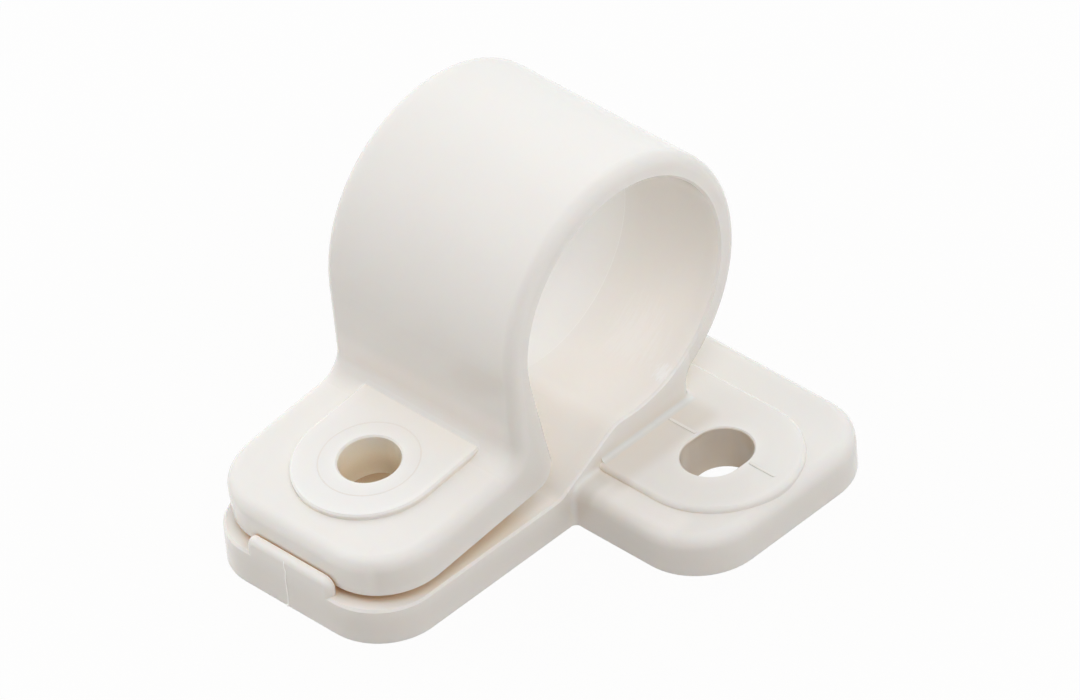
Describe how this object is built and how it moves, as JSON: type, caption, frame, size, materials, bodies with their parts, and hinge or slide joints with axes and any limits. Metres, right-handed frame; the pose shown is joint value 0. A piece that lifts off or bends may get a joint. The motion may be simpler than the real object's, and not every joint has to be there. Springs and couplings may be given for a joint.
{
  "type": "pipe clip",
  "caption": "One-piece moulded plastic pipe clip: a springy band with a screw-down strap foot over a base strip, and a wide slotted foot beside it.",
  "frame": {"origin": "on the face against the wall, under the pipe's axis and at the middle of the band's width", "axes": "+Z away from the wall, the pipe along Y, the wide foot towards -Y and the strap foot towards -X"},
  "size_m": [0.0437, 0.0352, 0.0309],
  "materials": {
    "off_white_plastic": "satin moulded plastic, warm off-white and slightly milky"
  },
  "bodies": {
    "root": {"pipe_clip": "off_white_plastic"}
  },
  "joints": []
}
